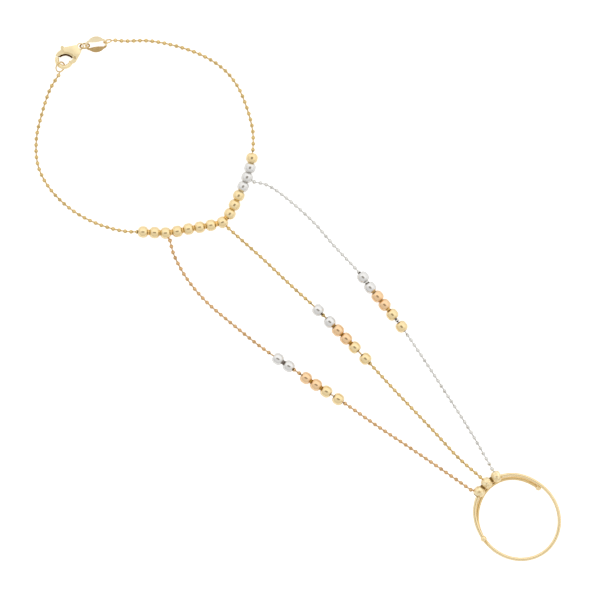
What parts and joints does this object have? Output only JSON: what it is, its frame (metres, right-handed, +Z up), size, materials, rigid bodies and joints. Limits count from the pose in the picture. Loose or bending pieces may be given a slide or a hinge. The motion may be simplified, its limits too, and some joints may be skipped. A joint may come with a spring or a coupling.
{
  "type": "hand chain bracelet",
  "caption": "Hand chain bracelet: a clasped wrist loop of fine ball chain with a row of polished beads, beaded chains across the hand and an open coiled finger ring.",
  "frame": {"origin": "middle of the laid-out bracelet, on the surface that it lies on", "axes": "+X from the clasp to the finger ring, +Y across the hand, +Z up from the surface"},
  "size_m": [0.1684, 0.051, 0.0032],
  "materials": {
    "yellow_gold": "polished",
    "rose_gold": "polished",
    "white_gold": "polished"
  },
  "bodies": {
    "bracelet": {"clasp_body": "yellow_gold", "clasp_pin": "yellow_gold", "hook_end_ring": "yellow_gold", "jump_ring": "yellow_gold", "oval_link": "yellow_gold", "link_end_ring": "yellow_gold", "wrist_balls": "yellow_gold", "wrist_rod": "yellow_gold", "left_balls": "rose_gold", "left_rod": "rose_gold", "mid_balls": "yellow_gold", "mid_rod": "yellow_gold", "right_balls": "white_gold", "right_rod": "white_gold", "wrist_bead_1": "yellow_gold", "wrist_bead_2": "yellow_gold", "wrist_bead_3": "yellow_gold", "wrist_bead_4": "yellow_gold", "wrist_bead_5": "yellow_gold", "wrist_bead_6": "yellow_gold", "wrist_bead_7": "yellow_gold", "wrist_bead_8": "yellow_gold", "wrist_bead_9": "yellow_gold", "wrist_bead_10": "yellow_gold", "wrist_bead_11": "yellow_gold", "wrist_bead_12": "white_gold", "wrist_bead_13": "white_gold", "wrist_bead_14": "white_gold", "wrist_bead_15": "yellow_gold", "left_bead_1": "white_gold", "left_bead_2": "white_gold", "left_bead_3": "rose_gold", "left_bead_4": "rose_gold", "left_bead_5": "yellow_gold", "left_bead_6": "yellow_gold", "mid_bead_1": "white_gold", "mid_bead_2": "white_gold", "mid_bead_3": "rose_gold", "mid_bead_4": "rose_gold", "mid_bead_5": "yellow_gold", "mid_bead_6": "yellow_gold", "right_bead_1": "white_gold", "right_bead_2": "white_gold", "right_bead_3": "rose_gold", "right_bead_4": "rose_gold", "right_bead_5": "yellow_gold", "right_bead_6": "yellow_gold", "ring_bead_1": "yellow_gold", "ring_bead_2": "yellow_gold", "ring_bead_3": "yellow_gold", "ring_wire": "yellow_gold"},
    "lever": {"clasp_lever": "yellow_gold"}
  },
  "joints": [
    {"name": "clasp_lever_hinge", "type": "hinge", "parent": "bracelet", "child": "lever", "pos_m": [-0.07984, 0.00166, 0.001], "axis": [0, 0, -1], "range_deg": [0, 22], "stiffness_Nm_per_rad": 0.004, "springref_deg": -8.59}
  ]
}
